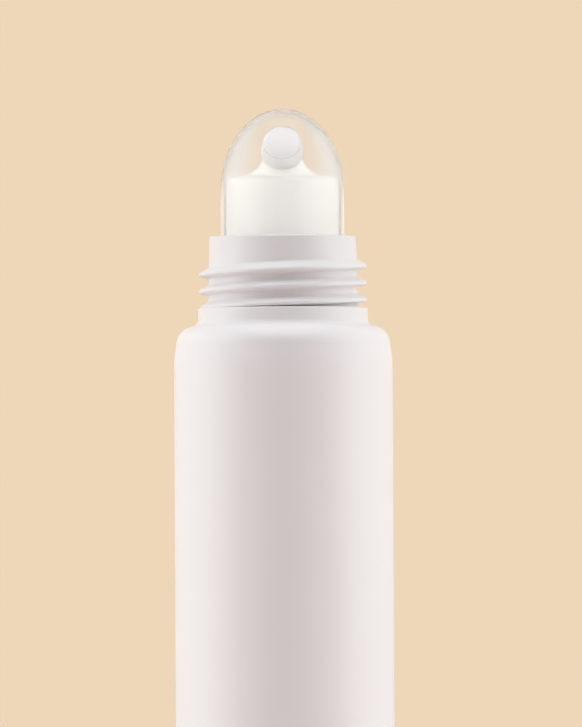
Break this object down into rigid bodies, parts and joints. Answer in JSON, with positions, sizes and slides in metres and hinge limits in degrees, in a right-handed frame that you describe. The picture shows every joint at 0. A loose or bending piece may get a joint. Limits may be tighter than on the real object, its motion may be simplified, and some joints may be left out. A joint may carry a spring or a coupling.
{
  "type": "lip balm tube",
  "caption": "Soft squeeze tube with a flat sealed tail, a threaded neck and a clear rounded applicator whose front outlet dispenses lip balm.",
  "frame": {"origin": "middle of the sealed tail's bottom edge, on the tube's axis", "axes": "+Z along the tube from the tail to the dome's tip, +X along the sealed tail's width, -Y towards the side of the dome that has the outlet"},
  "size_m": [0.029, 0.019, 0.1041],
  "materials": {
    "sleeve_plastic": "satin white polyethylene",
    "neck_plastic": "moulded semi-gloss white polypropylene",
    "clear_silicone": "clear smooth soft plastic",
    "core_plastic": "moulded satin white polypropylene",
    "balm": "smooth off-white balm"
  },
  "bodies": {
    "tube": {"sleeve": "sleeve_plastic", "shoulder_neck": "neck_plastic", "applicator_dome": "clear_silicone", "applicator_core": "core_plastic", "balm_fill": "balm"},
    "dab": {"balm_bead": "balm"}
  },
  "joints": [
    {"name": "balm_dispense", "type": "slide", "parent": "tube", "child": "dab", "axis": [0, -0.8795, 0.476], "range_m": [0, 0.0025]}
  ]
}
